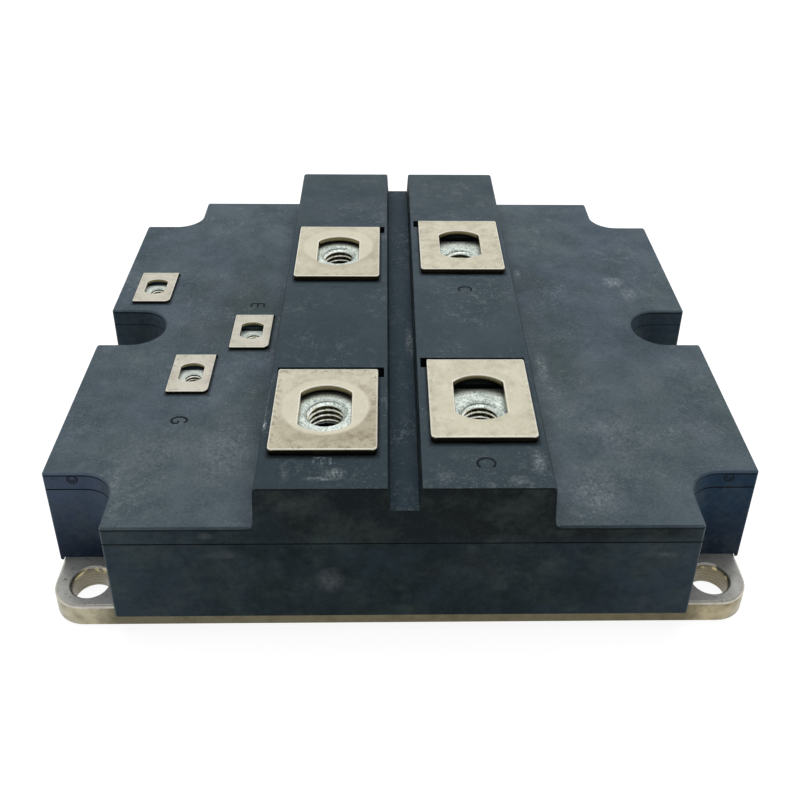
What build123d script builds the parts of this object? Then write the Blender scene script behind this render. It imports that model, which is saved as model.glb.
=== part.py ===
from build123d import *
import os

# Case, seen from above: X along the long side, Y along the short side
case_length = 140.0
case_depth = 130.0
case_wall = 3.0
case_corner_radius = 0.6
frame_height = 18.6
frame_lip_drop = 0.7
frame_lip_gap = 0.2
parting_chamfer = 0.25

# Base plate, set back inside the case edge
base_inset_x = 1.0
base_inset_y = 1.8
base_thickness = 5.0
base_corner_radius = 6.5
base_edge_chamfer = 0.5

# Heatsink screw holes: four corners and the middle of each short side, in from the case edge
screw_inset_x = 8.0
screw_inset_y = 8.0
screw_hole_diameter = 7.5
screw_hole_chamfer = 0.4

# Notches in the case that leave the screw holes open
corner_notch_radius = 6.5
side_notch_width = 14.1
side_notch_reach = 14.4

# Lid: flat wings left and right of a raised double terminal block
lid_thickness = 3.9
lid_edge_chamfer = 0.35
tongue_drop = 2.0
tongue_thickness = 1.2
tongue_gap = 0.2
tongue_end_gap = 2.0
block_rise = 9.5
block_width = 54.2
block_draft = 0.5
block_foot_radius = 0.9
block_edge_radius = 0.8
groove_width = 6.0
groove_floor_width = 5.3
groove_depth = 5.35
groove_edge_radius = 0.5

# Main terminals: bent straps, emitter on the left and collector on the right
main_spacing_x = 30.4
main_front_inset = 21.6
main_rear_inset = 46.6
emitter_shift = -0.6
collector_shift = 2.8
main_tab_width = 20.4
main_tab_front = 12.3
main_tab_rear = 13.75
main_tab_thickness = 1.5
main_tab_corner = 1.0
main_bend_radius = 0.5
main_hole_radius = 7.0
main_hole_flats = 10.1
main_slot_front_gap = 0.1
main_slot_rear_gap = 1.25
main_slot_inner_gap = 1.2
main_slot_outer_gap = 0.4

# Captive M8 nuts under the main tabs, with room below for the end of the screw
main_nut_width = 17.0
main_nut_height = 6.5
main_nut_bore = 6.65
emitter_nut_drop = 0.2
collector_nut_drop = 0.8
nut_pocket_gap = 0.15
main_screw_reach = 16.0
main_well_width = 9.4
main_post_wall = 2.0
well_end_gap = 1.0

# Auxiliary terminals on the left wing, hole centres from the case side, the block and the side notch
gate_side_inset = 23.7
gate_notch_gap = 11.75
sense_emitter_block_gap = 6.4
sense_emitter_y = -2.4
sense_collector_side_inset = 8.8
sense_collector_notch_gap = 10.15
aux_tab_width = 9.1
aux_tab_front = 6.9
aux_tab_rear = 7.3
aux_tab_thickness = 0.8
aux_tab_right_corner = 1.3
aux_tab_left_corner = 0.5
aux_bend_radius = 0.3
aux_hole_radius = 3.4
aux_hole_flats = 5.1
aux_slot_gap = 0.2

# Captive M4 nuts under the auxiliary tabs
aux_nut_width = 7.0
aux_nut_height = 3.2
aux_nut_bore = 3.24
gate_nut_drop = 1.0
sense_emitter_nut_drop = 1.6
sense_collector_nut_drop = 1.0
aux_screw_reach = 7.3
aux_well_width = 5.0
aux_post_wall = 1.5

# Metallised ceramic substrates, two by two on the base plate
solder_thickness = 0.2
foil_thickness = 0.3
ceramic_thickness = 1.0
substrate_inner_x = 2.0
substrate_side_room = 22.0
substrate_front_room = 8.8
substrate_rear_room = 5.6
substrate_row_gap = 8.0
substrate_margin = 1.0
chip_length = 11.5
chip_thickness = 0.4
chip_side_gap = 0.75
chip_column_gap = 2.0
count_slack = 0.01
chip_row_gap = 1.2
pad_gap = 1.0
emitter_pad_width = 7.5
gate_pad_width = 2.0
sense_pad_length = 8.0
link_width = 4.0

# Bond ribbons and gate wires
ribbon_width = 2.4
ribbon_edge_gap = 1.75
ribbon_thickness = 0.3
ribbon_rise = 2.3
ribbon_lean = 1.5
ribbon_foot = 0.6
wire_width = 0.8
wire_offset = 3.0

# Inner ends of the main terminals: cross bars on legs with soldered feet
bar_bottom_height = 7.0
bar_height = 8.0
leg_ribbon_gap = 0.55
foot_length = 6.0

# Gate board on pins over the gap between the substrates, and the gel below it
board_gap = 2.1
board_thickness = 1.6
board_margin = 2.5
pin_width = 1.2
aux_foot_length = 3.6
sense_arm_height = 5.0
gel_gap = 1.5

base_length = case_length - 2 * base_inset_x
base_depth = case_depth - 2 * base_inset_y
base_top = base_thickness
parting_z = base_top + frame_height
wing_z = parting_z + lid_thickness
block_z = wing_z + block_rise
groove_z = block_z - groove_depth
main_tab_z = block_z + main_tab_thickness
tongue_z = parting_z - tongue_drop
screw_x = case_length / 2 - screw_inset_x
screw_y = case_depth / 2 - screw_inset_y

main_x = main_spacing_x / 2
nut_row_front = main_front_inset - case_depth / 2
nut_row_rear = case_depth / 2 - main_rear_inset
strap_centre = main_tab_rear - main_tab_thickness / 2
row_shift = (emitter_shift + collector_shift) / 2 + strap_centre
row_front = nut_row_front + row_shift
row_rear = nut_row_rear + row_shift
main_well_z = main_tab_z - main_screw_reach - well_end_gap
main_post_width = main_well_width + 2 * main_post_wall
main_pocket_width = main_nut_width + 2 * nut_pocket_gap

block_foot = block_width / 2 + block_draft + block_foot_radius
gate_x = gate_side_inset - case_length / 2
gate_y = -side_notch_width / 2 - gate_notch_gap
sense_emitter_x = -block_foot - sense_emitter_block_gap
sense_collector_x = sense_collector_side_inset - case_length / 2
sense_collector_y = side_notch_width / 2 + sense_collector_notch_gap
aux_well_z = wing_z - aux_screw_reach
aux_pocket_width = aux_nut_width + 2 * nut_pocket_gap
aux_post_width = aux_pocket_width + 2 * aux_post_wall
aux_post_z = aux_well_z - aux_post_wall

ceramic_z = base_top + solder_thickness + foil_thickness
pad_base_z = ceramic_z + ceramic_thickness
pad_z = pad_base_z + foil_thickness
chip_z = pad_z + chip_thickness
crown_z = chip_z + ribbon_rise + ribbon_thickness
bar_z = base_top + bar_bottom_height
bar_top_z = bar_z + bar_height
board_top_z = aux_post_z - board_gap
board_z = board_top_z - board_thickness
gel_z = board_z - gel_gap

substrate_out = case_length / 2 - substrate_side_room
inner_half = (row_rear - row_front - substrate_row_gap) / 2
front_half = row_front + case_depth / 2 - substrate_front_room
rear_half = case_depth / 2 - substrate_rear_room - row_rear
pad_in = substrate_inner_x + substrate_margin
pad_out = substrate_out - substrate_margin
link_in = pad_out - link_width
column_first = pad_in + chip_side_gap + chip_length / 2
column_last = link_in - chip_side_gap - chip_length / 2
column_gaps = int((column_last - column_first) / (chip_length + chip_column_gap) + count_slack)
column_pitch = (column_last - column_first) / column_gaps
columns = [column_first + i * column_pitch for i in range(column_gaps + 1)]
gate_out = inner_half - substrate_margin
gate_in = gate_out - gate_pad_width
strip_room = substrate_margin + gate_pad_width + pad_gap
emitter_in = -pad_gap / 2
emitter_out = emitter_in - emitter_pad_width
chip_room = pad_gap - emitter_out + 2 * chip_row_gap
ribbon_offset = (chip_length - ribbon_width) / 2 - ribbon_edge_gap
leg_width = chip_column_gap + 2 * (ribbon_edge_gap - leg_ribbon_gap)
sense_in = pad_out - sense_pad_length
leg_columns = [column + column_pitch / 2 for column in columns[:-1]]
bar_half = leg_columns[-1] + leg_width / 2
gate_line = (gate_in + gate_out) / 2
gate_pin_x = leg_columns[0] - wire_offset
sense_pin_x = pad_out - link_width / 2
gate_pin_front = row_front + gate_line
gate_pin_rear = row_rear - gate_line


def rect(x0, x1, y0, y1):
    """Flat rectangle between two opposite corners."""
    return Pos((x0 + x1) / 2, (y0 + y1) / 2) * Rectangle(abs(x1 - x0), abs(y1 - y0))


def slab(outline, z0, z1):
    """Flat outline raised from z0 to z1."""
    return Pos(0, 0, z0) * extrude(outline, z1 - z0)


def span(x0, x1, y0, y1, z0, z1):
    return slab(rect(x0, x1, y0, y1), z0, z1)


def post(x, y, width, z0, z1):
    """Square post, or the tool for a square pocket, centred on x and y."""
    return slab(Pos(x, y) * Rectangle(width, width), z0, z1)


def rounded(profile, radius, corners):
    """Round the named corners of a flat profile."""
    picked = []
    for vertex in profile.vertices():
        for x, y in corners:
            if abs(vertex.X - x) < 0.01 and abs(vertex.Y - y) < 0.01:
                picked.append(vertex)
    return fillet(picked, radius)


def across(profile, centre_x, width):
    """Profile drawn in Y and Z, made into a strip of that width across X."""
    return Pos(centre_x, 0, 0) * extrude(Plane.YZ * profile, width / 2, both=True)


def case_outline(inset=0.0):
    """Plan of the case with its six notches, moved in by the inset."""
    half_x = case_length / 2
    half_y = case_depth / 2
    reach = corner_notch_radius + inset
    side_half = side_notch_width / 2 + inset
    side_centre = half_x - side_notch_reach + side_notch_width / 2
    outline = Rectangle(case_length - 2 * inset, case_depth - 2 * inset)
    for sx in (-1, 1):
        for sy in (-1, 1):
            outline -= Pos(sx * screw_x, sy * screw_y) * Circle(reach)
            outline -= rect(sx * (screw_x - reach), sx * (half_x + 1), sy * screw_y, sy * (half_y + 1))
            outline -= rect(sx * screw_x, sx * (half_x + 1), sy * (screw_y - reach), sy * (half_y + 1))
        outline -= Pos(sx * side_centre, 0) * Circle(side_half)
        outline -= rect(sx * side_centre, sx * (half_x + 1), -side_half, side_half)
    return outline


def outer_outline():
    """Case plan with its upright outer corners rounded."""
    half_x = case_length / 2
    half_y = case_depth / 2
    corners = []
    for sx in (-1, 1):
        for sy in (-1, 1):
            corners.append((sx * (screw_x - corner_notch_radius), sy * half_y))
            corners.append((sx * half_x, sy * (screw_y - corner_notch_radius)))
            corners.append((sx * half_x, sy * side_notch_width / 2))
    return rounded(case_outline(), case_corner_radius, corners)


def base_plate():
    plate = slab(RectangleRounded(base_length, base_depth, base_corner_radius), 0, base_thickness)
    plate = chamfer(plate.faces().sort_by(Axis.Z)[-1].edges(), base_edge_chamfer)
    hole_r = screw_hole_diameter / 2
    section = Polygon(
        (0, 0),
        (hole_r, 0),
        (hole_r, base_thickness - screw_hole_chamfer),
        (hole_r + screw_hole_chamfer, base_thickness),
        (0, base_thickness),
        align=None,
    )
    hole = revolve(Plane.XZ * section, Axis.Z)
    for x in (-screw_x, screw_x):
        for y in (-screw_y, 0, screw_y):
            plate -= Pos(x, y, 0) * hole
    return plate


def case_frame():
    """Lower moulding: a wall that follows the notches, with a lip over the edge of the base plate."""
    body = slab(outer_outline(), base_top, parting_z)
    body = chamfer(body.faces().sort_by(Axis.Z)[-1].edges(), parting_chamfer)
    body -= slab(case_outline(case_wall), base_top, parting_z)
    opening = RectangleRounded(
        base_length + 2 * frame_lip_gap,
        base_depth + 2 * frame_lip_gap,
        base_corner_radius + frame_lip_gap,
    )
    return body + slab(outer_outline() - opening, base_top - frame_lip_drop, base_top)


def block_body():
    """Raised terminal block: one profile with the groove, drawn across the full depth of the case."""
    top = block_width / 2
    bottom = top + block_draft
    lip = groove_width / 2
    floor = groove_floor_width / 2
    profile = Polygon(
        (-block_foot, parting_z),
        (block_foot, parting_z),
        (block_foot, wing_z),
        (bottom, wing_z),
        (top, block_z),
        (lip, block_z),
        (floor, groove_z),
        (-floor, groove_z),
        (-lip, block_z),
        (-top, block_z),
        (-bottom, wing_z),
        (-block_foot, wing_z),
        align=None,
    )
    profile = rounded(profile, block_foot_radius, [(-bottom, wing_z), (bottom, wing_z)])
    profile = rounded(profile, block_edge_radius, [(-top, block_z), (top, block_z)])
    profile = rounded(profile, groove_edge_radius, [(-lip, block_z), (lip, block_z)])
    return extrude(Plane.XZ * profile, case_depth / 2, both=True)


def tongues():
    """Straight ribs under the lid that centre it inside the frame."""
    outer_x = case_length / 2 - case_wall - tongue_gap
    outer_y = case_depth / 2 - case_wall - tongue_gap
    corner = corner_notch_radius + case_wall + tongue_end_gap
    reach_x = screw_x - corner
    reach_y = screw_y - corner
    side = side_notch_width / 2 + case_wall + tongue_end_gap
    plan = rect(-reach_x, reach_x, outer_y - tongue_thickness, outer_y)
    plan += rect(-reach_x, reach_x, -outer_y, tongue_thickness - outer_y)
    for sx in (-1, 1):
        for sy in (-1, 1):
            plan += rect(sx * (outer_x - tongue_thickness), sx * outer_x, sy * side, sy * reach_y)
    return slab(plan, tongue_z, parting_z)


def square_nut(width, height, bore):
    """Square nut standing on z 0."""
    return extrude(Rectangle(width, width) - Circle(bore / 2), height)


def double_d(radius, flats):
    """Round hole with a flat on its left and right."""
    return Circle(radius) & Rectangle(flats, 3 * radius)


def bent_tab(x, y, sizes, under, foot_z, hole):
    """Terminal strip at a hole centre: flat tab forward, bent down at the rear to foot_z."""
    width, front, rear, thickness, inner = sizes
    lead = y - front
    back = y + rear
    profile = Polygon(
        (lead, under),
        (back - thickness, under),
        (back - thickness, foot_z),
        (back, foot_z),
        (back, under + thickness),
        (lead, under + thickness),
        align=None,
    )
    profile = rounded(profile, inner, [(back - thickness, under)])
    profile = rounded(profile, inner + thickness, [(back, under + thickness)])
    strip = across(profile, x, width)
    return strip - slab(Pos(x, y) * hole, under - 1, under + thickness + 1)


def front_corners(strip):
    """Upright edges at the front of a tab, left one first."""
    return strip.edges().filter_by(Axis.Z).group_by(Axis.Y)[0].sort_by(Axis.X)


def main_terminal(x, y, turn):
    """Main strap with its cross bar and four feet; turn says which way the feet point along Y."""
    hole = double_d(main_hole_radius, main_hole_flats)
    sizes = (main_tab_width, main_tab_front, main_tab_rear, main_tab_thickness, main_bend_radius)
    strap = bent_tab(x, y, sizes, block_z, bar_z, hole)
    strap = fillet(front_corners(strap), main_tab_corner)
    back = y + main_tab_rear
    face = back - main_tab_thickness
    heel = face if turn > 0 else back
    shin = back if turn > 0 else face
    toe = heel + turn * foot_length
    sole = pad_z + main_tab_thickness
    leg = Polygon(
        (heel, bar_z),
        (heel, pad_z),
        (toe, pad_z),
        (toe, sole),
        (shin, sole),
        (shin, bar_z),
        align=None,
    )
    strap += span(-bar_half, bar_half, face, back, bar_z, bar_top_z)
    for column in leg_columns:
        for sx in (-1, 1):
            strap += across(leg, sx * column, leg_width)
    return strap


def aux_strap(x, y, foot_z):
    """Small terminal strap for a control wire."""
    hole = double_d(aux_hole_radius, aux_hole_flats)
    sizes = (aux_tab_width, aux_tab_front, aux_tab_rear, aux_tab_thickness, aux_bend_radius)
    strap = bent_tab(x, y, sizes, wing_z, foot_z, hole)
    strap = fillet([front_corners(strap)[0]], aux_tab_left_corner)
    return fillet([front_corners(strap)[-1]], aux_tab_right_corner)


def board_terminal(x, y):
    """Small terminal whose inner end is bent into a foot on the gate board."""
    face = y + aux_tab_rear - aux_tab_thickness
    foot = rect(x - aux_tab_width / 2, x + aux_tab_width / 2, face, face + aux_foot_length)
    return aux_strap(x, y, board_top_z) + slab(foot, board_top_z, board_top_z + aux_tab_thickness)


def collector_sense_terminal():
    """Small terminal with an arm to the collector pad of the rear left substrate."""
    x = sense_collector_x
    back = sense_collector_y + aux_tab_rear
    face = back - aux_tab_thickness
    strap = aux_strap(x, sense_collector_y, board_z)
    strap += span(x, -link_in, face, back, board_z, board_z + sense_arm_height)
    strap += span(-pad_out, -link_in, face, back, pad_z, board_z)
    strap += span(-pad_out, -link_in, back - aux_foot_length, back, pad_z, pad_z + aux_tab_thickness)
    return strap


def main_nuts():
    """Kind, row, centre, drop below the block top, hole shift and foot direction of each main terminal."""
    return [
        ("emitter", "front", -main_x, nut_row_front, emitter_nut_drop, emitter_shift, -1),
        ("emitter", "rear", -main_x, nut_row_rear, emitter_nut_drop, emitter_shift, -1),
        ("collector", "front", main_x, nut_row_front, collector_nut_drop, collector_shift, 1),
        ("collector", "rear", main_x, nut_row_rear, collector_nut_drop, collector_shift, 1),
    ]


def aux_nuts():
    """Name, centre and drop below the wing of each auxiliary nut."""
    return [
        ("gate", gate_x, gate_y, gate_nut_drop),
        ("sense_emitter", sense_emitter_x, sense_emitter_y, sense_emitter_nut_drop),
        ("sense_collector", sense_collector_x, sense_collector_y, sense_collector_nut_drop),
    ]


def main_slot(x, hole_y):
    """Opening for a main strap, with more room on the groove side than on the outer side."""
    side = 1 if x > 0 else -1
    inner = x - side * (main_tab_width / 2 + main_slot_inner_gap)
    outer = x + side * (main_tab_width / 2 + main_slot_outer_gap)
    front = hole_y + main_tab_rear - main_tab_thickness - main_bend_radius - main_slot_front_gap
    rear = hole_y + main_tab_rear + main_slot_rear_gap
    return span(inner, outer, front, rear, tongue_z, block_z + 1)


def aux_slot(x, y):
    half = aux_tab_width / 2 + aux_slot_gap
    front = y + aux_tab_rear - aux_tab_thickness - aux_bend_radius - aux_slot_gap
    rear = y + aux_tab_rear + aux_slot_gap
    return span(x - half, x + half, front, rear, tongue_z, wing_z + 1)


def case_lid():
    """Upper moulding: wings, terminal block, posts with nut pockets and screw wells, and strap slots."""
    lid = slab(outer_outline(), parting_z, wing_z)
    lid = chamfer(lid.faces().sort_by(Axis.Z)[-1].edges(), lid_edge_chamfer)
    lid += block_body()
    lid += tongues()
    for kind, row, x, y, drop, shift, turn in main_nuts():
        shelf = block_z - drop - main_nut_height
        lid += post(x, y, main_post_width, main_well_z - main_post_wall, parting_z)
        lid -= post(x, y, main_pocket_width, shelf, block_z + 1)
        lid -= post(x, y, main_well_width, main_well_z, shelf)
        lid -= main_slot(x, y + shift)
    for name, x, y, drop in aux_nuts():
        shelf = wing_z - drop - aux_nut_height
        lid += post(x, y, aux_post_width, aux_post_z, parting_z)
        lid -= post(x, y, aux_pocket_width, shelf, wing_z + 1)
        lid -= post(x, y, aux_well_width, aux_well_z, shelf)
        lid -= aux_slot(x, y)
    return lid


def arch(start, start_z, end, end_z, x, width):
    """Flat ribbon that rises from one surface and comes down on another, along Y."""
    way = 1 if end > start else -1
    crown = start_z + ribbon_rise
    outer = crown + ribbon_thickness
    foot = way * ribbon_foot
    lean = way * ribbon_lean
    profile = Polygon(
        (start, start_z),
        (start + lean, outer),
        (end - lean, outer),
        (end, end_z),
        (end - foot, end_z),
        (end - foot - lean, crown),
        (start + foot + lean, crown),
        (start + foot, start_z),
        align=None,
    )
    return across(profile, x, width)


def substrate(side, row, gate_side, outer_half):
    """Pieces of one substrate, left or right on a terminal row, its gate strip toward the module centre."""
    half = {gate_side: inner_half, -gate_side: outer_half}
    reach = {way: half[way] - strip_room for way in half}

    def patch(u0, u1, v0, v1):
        return rect(side * u0, side * u1, row + v0, row + v1)

    tile = patch(substrate_inner_x, substrate_out, -half[-1], half[1])
    land = patch(pad_in, pad_out, substrate_margin - half[-1], half[1] - substrate_margin)
    solder = slab(land, base_top, base_top + solder_thickness)
    foil = slab(land, base_top + solder_thickness, ceramic_z)
    ceramic = slab(tile, ceramic_z, pad_base_z)
    collector = patch(pad_in, pad_out, -reach[-1], emitter_out - pad_gap)
    collector += patch(pad_in, pad_out, -emitter_in, reach[1])
    collector += patch(link_in, pad_out, -reach[-1], reach[1])
    emitter = patch(pad_in, link_in - pad_gap, emitter_out, emitter_in)
    gate = patch(pad_in, sense_in - pad_gap, gate_side * gate_in, gate_side * gate_out)
    sense = patch(sense_in, pad_out, gate_side * gate_in, gate_side * gate_out)
    copper = [foil]
    for pad in (collector, emitter, gate, sense):
        copper.append(slab(pad, pad_base_z, pad_z))

    switches = []
    diodes = []
    ribbons = []
    half_u = chip_length / 2
    for column in columns:
        for way, chips in ((gate_side, switches), (-gate_side, diodes)):
            half_v = (reach[way] - chip_room) / 2
            v = way * (reach[way] - chip_row_gap - half_v)
            chip = patch(column - half_u, column + half_u, v - half_v, v + half_v)
            chips.append(slab(chip, pad_z, chip_z))
            landing = emitter_in - pad_gap if way > 0 else emitter_out + emitter_pad_width / 2
            for offset in (-ribbon_offset, ribbon_offset):
                x = side * (column + offset)
                ribbons.append(arch(row + v, chip_z, row + landing, pad_z, x, ribbon_width))
    lift = row + gate_side * (reach[gate_side] - 2 * chip_row_gap)
    touch = row + gate_side * gate_line
    for column in columns:
        ribbons.append(arch(lift, chip_z, touch, pad_z, side * (column - wire_offset), wire_width))
    sense_x = side * (columns[-1] + half_u - chip_row_gap)
    ribbons.append(arch(lift, chip_z, touch, pad_z, sense_x, wire_width))
    return solder, ceramic, copper, switches, diodes, ribbons


def gate_board():
    """Control board over the gap between the substrate rows, with an ear under the gate terminal."""
    front = gate_pin_front - board_margin
    rear = gate_pin_rear + board_margin
    half = aux_tab_width / 2 + aux_slot_gap
    ear_front = gate_y + aux_tab_rear - aux_tab_thickness - aux_slot_gap
    plan = rect(-sense_pin_x - board_margin, sense_pin_x + board_margin, front, rear)
    plan += rect(gate_x - half, gate_x + half, ear_front, rear)
    return slab(plan, board_z, board_top_z)


def gate_pins():
    pins = []
    for x in (-sense_pin_x, -gate_pin_x, gate_pin_x, sense_pin_x):
        for y in (gate_pin_front, gate_pin_rear):
            pins.append(post(x, y, pin_width, pad_z, board_z))
    return pins


nodes = {}
nodes["base_plate"] = base_plate()
nodes["case_frame"] = case_frame()
nodes["case_lid"] = case_lid()

main_nut = square_nut(main_nut_width, main_nut_height, main_nut_bore)
for kind, row, x, y, drop, shift, turn in main_nuts():
    nodes[f"{kind}_terminal_{row}"] = main_terminal(x, y + shift, turn)
    nodes[f"{kind}_nut_{row}"] = Pos(x, y, block_z - drop - main_nut_height) * main_nut

aux_nut = square_nut(aux_nut_width, aux_nut_height, aux_nut_bore)
for name, x, y, drop in aux_nuts():
    nodes[f"{name}_nut"] = Pos(x, y, wing_z - drop - aux_nut_height) * aux_nut

nodes["gate_terminal"] = board_terminal(gate_x, gate_y)
nodes["sense_emitter_terminal"] = board_terminal(sense_emitter_x, sense_emitter_y)
nodes["sense_collector_terminal"] = collector_sense_terminal()

solder_layers = []
for row_name, row, gate_side, outer_half in (
    ("front", row_front, 1, front_half),
    ("rear", row_rear, -1, rear_half),
):
    for side_name, side in (("left", -1), ("right", 1)):
        place = f"{row_name}_{side_name}"
        solder, ceramic, copper, switches, diodes, ribbons = substrate(side, row, gate_side, outer_half)
        solder_layers.append(solder)
        nodes[f"ceramic_{place}"] = ceramic
        nodes[f"copper_{place}"] = Compound(children=copper)
        nodes[f"switch_chips_{place}"] = Compound(children=switches)
        nodes[f"diode_chips_{place}"] = Compound(children=diodes)
        nodes[f"bond_ribbons_{place}"] = Compound(children=ribbons)
nodes["solder_layers"] = Compound(children=solder_layers)
nodes["gate_board"] = gate_board()
nodes["gate_pins"] = Compound(children=gate_pins())

# Gel over the bond ribbons, open around the straps and pins that come up through it
gel = slab(case_outline(case_wall), crown_z, gel_z)
for name, piece in nodes.items():
    if "terminal" in name or name == "gate_pins":
        gel -= piece.solids()
nodes["insulating_gel"] = gel

os.makedirs("parts", exist_ok=True)
for name, piece in nodes.items():
    export_step(piece, f"parts/{name}.step")
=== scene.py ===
import bpy
import bmesh
import math
from mathutils import Matrix, Vector


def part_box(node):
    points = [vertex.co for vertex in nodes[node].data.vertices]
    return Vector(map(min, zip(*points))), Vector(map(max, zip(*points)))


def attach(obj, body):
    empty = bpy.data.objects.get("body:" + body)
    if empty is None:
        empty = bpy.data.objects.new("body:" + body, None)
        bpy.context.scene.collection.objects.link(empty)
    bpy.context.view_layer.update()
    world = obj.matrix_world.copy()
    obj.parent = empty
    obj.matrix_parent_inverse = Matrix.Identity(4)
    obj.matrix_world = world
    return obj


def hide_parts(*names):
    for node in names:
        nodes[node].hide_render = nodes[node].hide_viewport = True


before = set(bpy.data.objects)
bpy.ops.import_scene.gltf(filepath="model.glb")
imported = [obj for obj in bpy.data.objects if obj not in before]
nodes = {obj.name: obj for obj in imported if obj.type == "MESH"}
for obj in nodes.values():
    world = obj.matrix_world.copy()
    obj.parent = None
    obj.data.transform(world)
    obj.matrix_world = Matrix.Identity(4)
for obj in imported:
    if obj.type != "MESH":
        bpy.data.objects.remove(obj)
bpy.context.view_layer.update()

MM = 0.001

# Camera at the photograph's viewing angle: tilt down, lean and turn in degrees, place in millimetres
CAMERA_TILT = 30.272
CAMERA_LEAN = -1.157
CAMERA_TURN = 0.814
CAMERA_PLACE = (-3.761, -196.326, 160.121)
IMAGE_SIZE = 800
FOCAL_PIXELS = 990.70
CENTRE_PIXEL = (408.91, 261.80)
SENSOR_WIDTH = 36.0

# Levels of the main faces in millimetres, read from the frame
MAIN_TAB_THICKNESS = 1.5
SMALL_TAB_THICKNESS = 0.8
BLOCK_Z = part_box("emitter_terminal_front")[1].z / MM - MAIN_TAB_THICKNESS
WING_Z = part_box("gate_terminal")[1].z / MM - SMALL_TAB_THICKNESS
PARTING_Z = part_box("case_frame")[1].z / MM
BASE_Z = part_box("base_plate")[1].z / MM
FRONT_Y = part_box("case_lid")[0].y / MM
# Distances in X from the middle: the end of the front face, the side of the blocks and of the groove
FRONT_END = 55.5
BLOCK_HALF = 27.5
GROOVE_HALF = 3.0

# Main terminals: how far the hole sits behind the nut, how far the washer's ring sits behind the hole
# (None where no ring shows), and how stained the plating is
MAIN_TABS = {
    "emitter_terminal_front": (-0.6, 0.3, 0.66),
    "emitter_terminal_rear": (-0.6, 2.0, 0.25),
    "collector_terminal_front": (2.8, None, 0.20),
    "collector_terminal_rear": (2.8, None, 0.30),
}
SMALL_TABS = ("gate_terminal", "sense_emitter_terminal", "sense_collector_terminal")
SMALL_TAB_STAIN = 0.16
MAIN_NUTS = ("emitter_nut_front", "emitter_nut_rear", "collector_nut_front", "collector_nut_rear")
SMALL_NUTS = ("gate_nut", "sense_emitter_nut", "sense_collector_nut")
QUARTERS = ("front_left", "front_right", "rear_left", "rear_right")

# Height in millimetres that makes a round spot an upright column
TALL = 900.0


def add_node(tree, kind, inputs=None, **settings):
    """Shader node with its settings; an input is a socket to link or a constant."""
    node = tree.nodes.new("ShaderNode" + kind)
    for key, value in settings.items():
        setattr(node, key, value)
    for key, value in (inputs or {}).items():
        if isinstance(value, bpy.types.NodeSocket):
            tree.links.new(value, node.inputs[key])
        else:
            node.inputs[key].default_value = value
    return node


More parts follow.
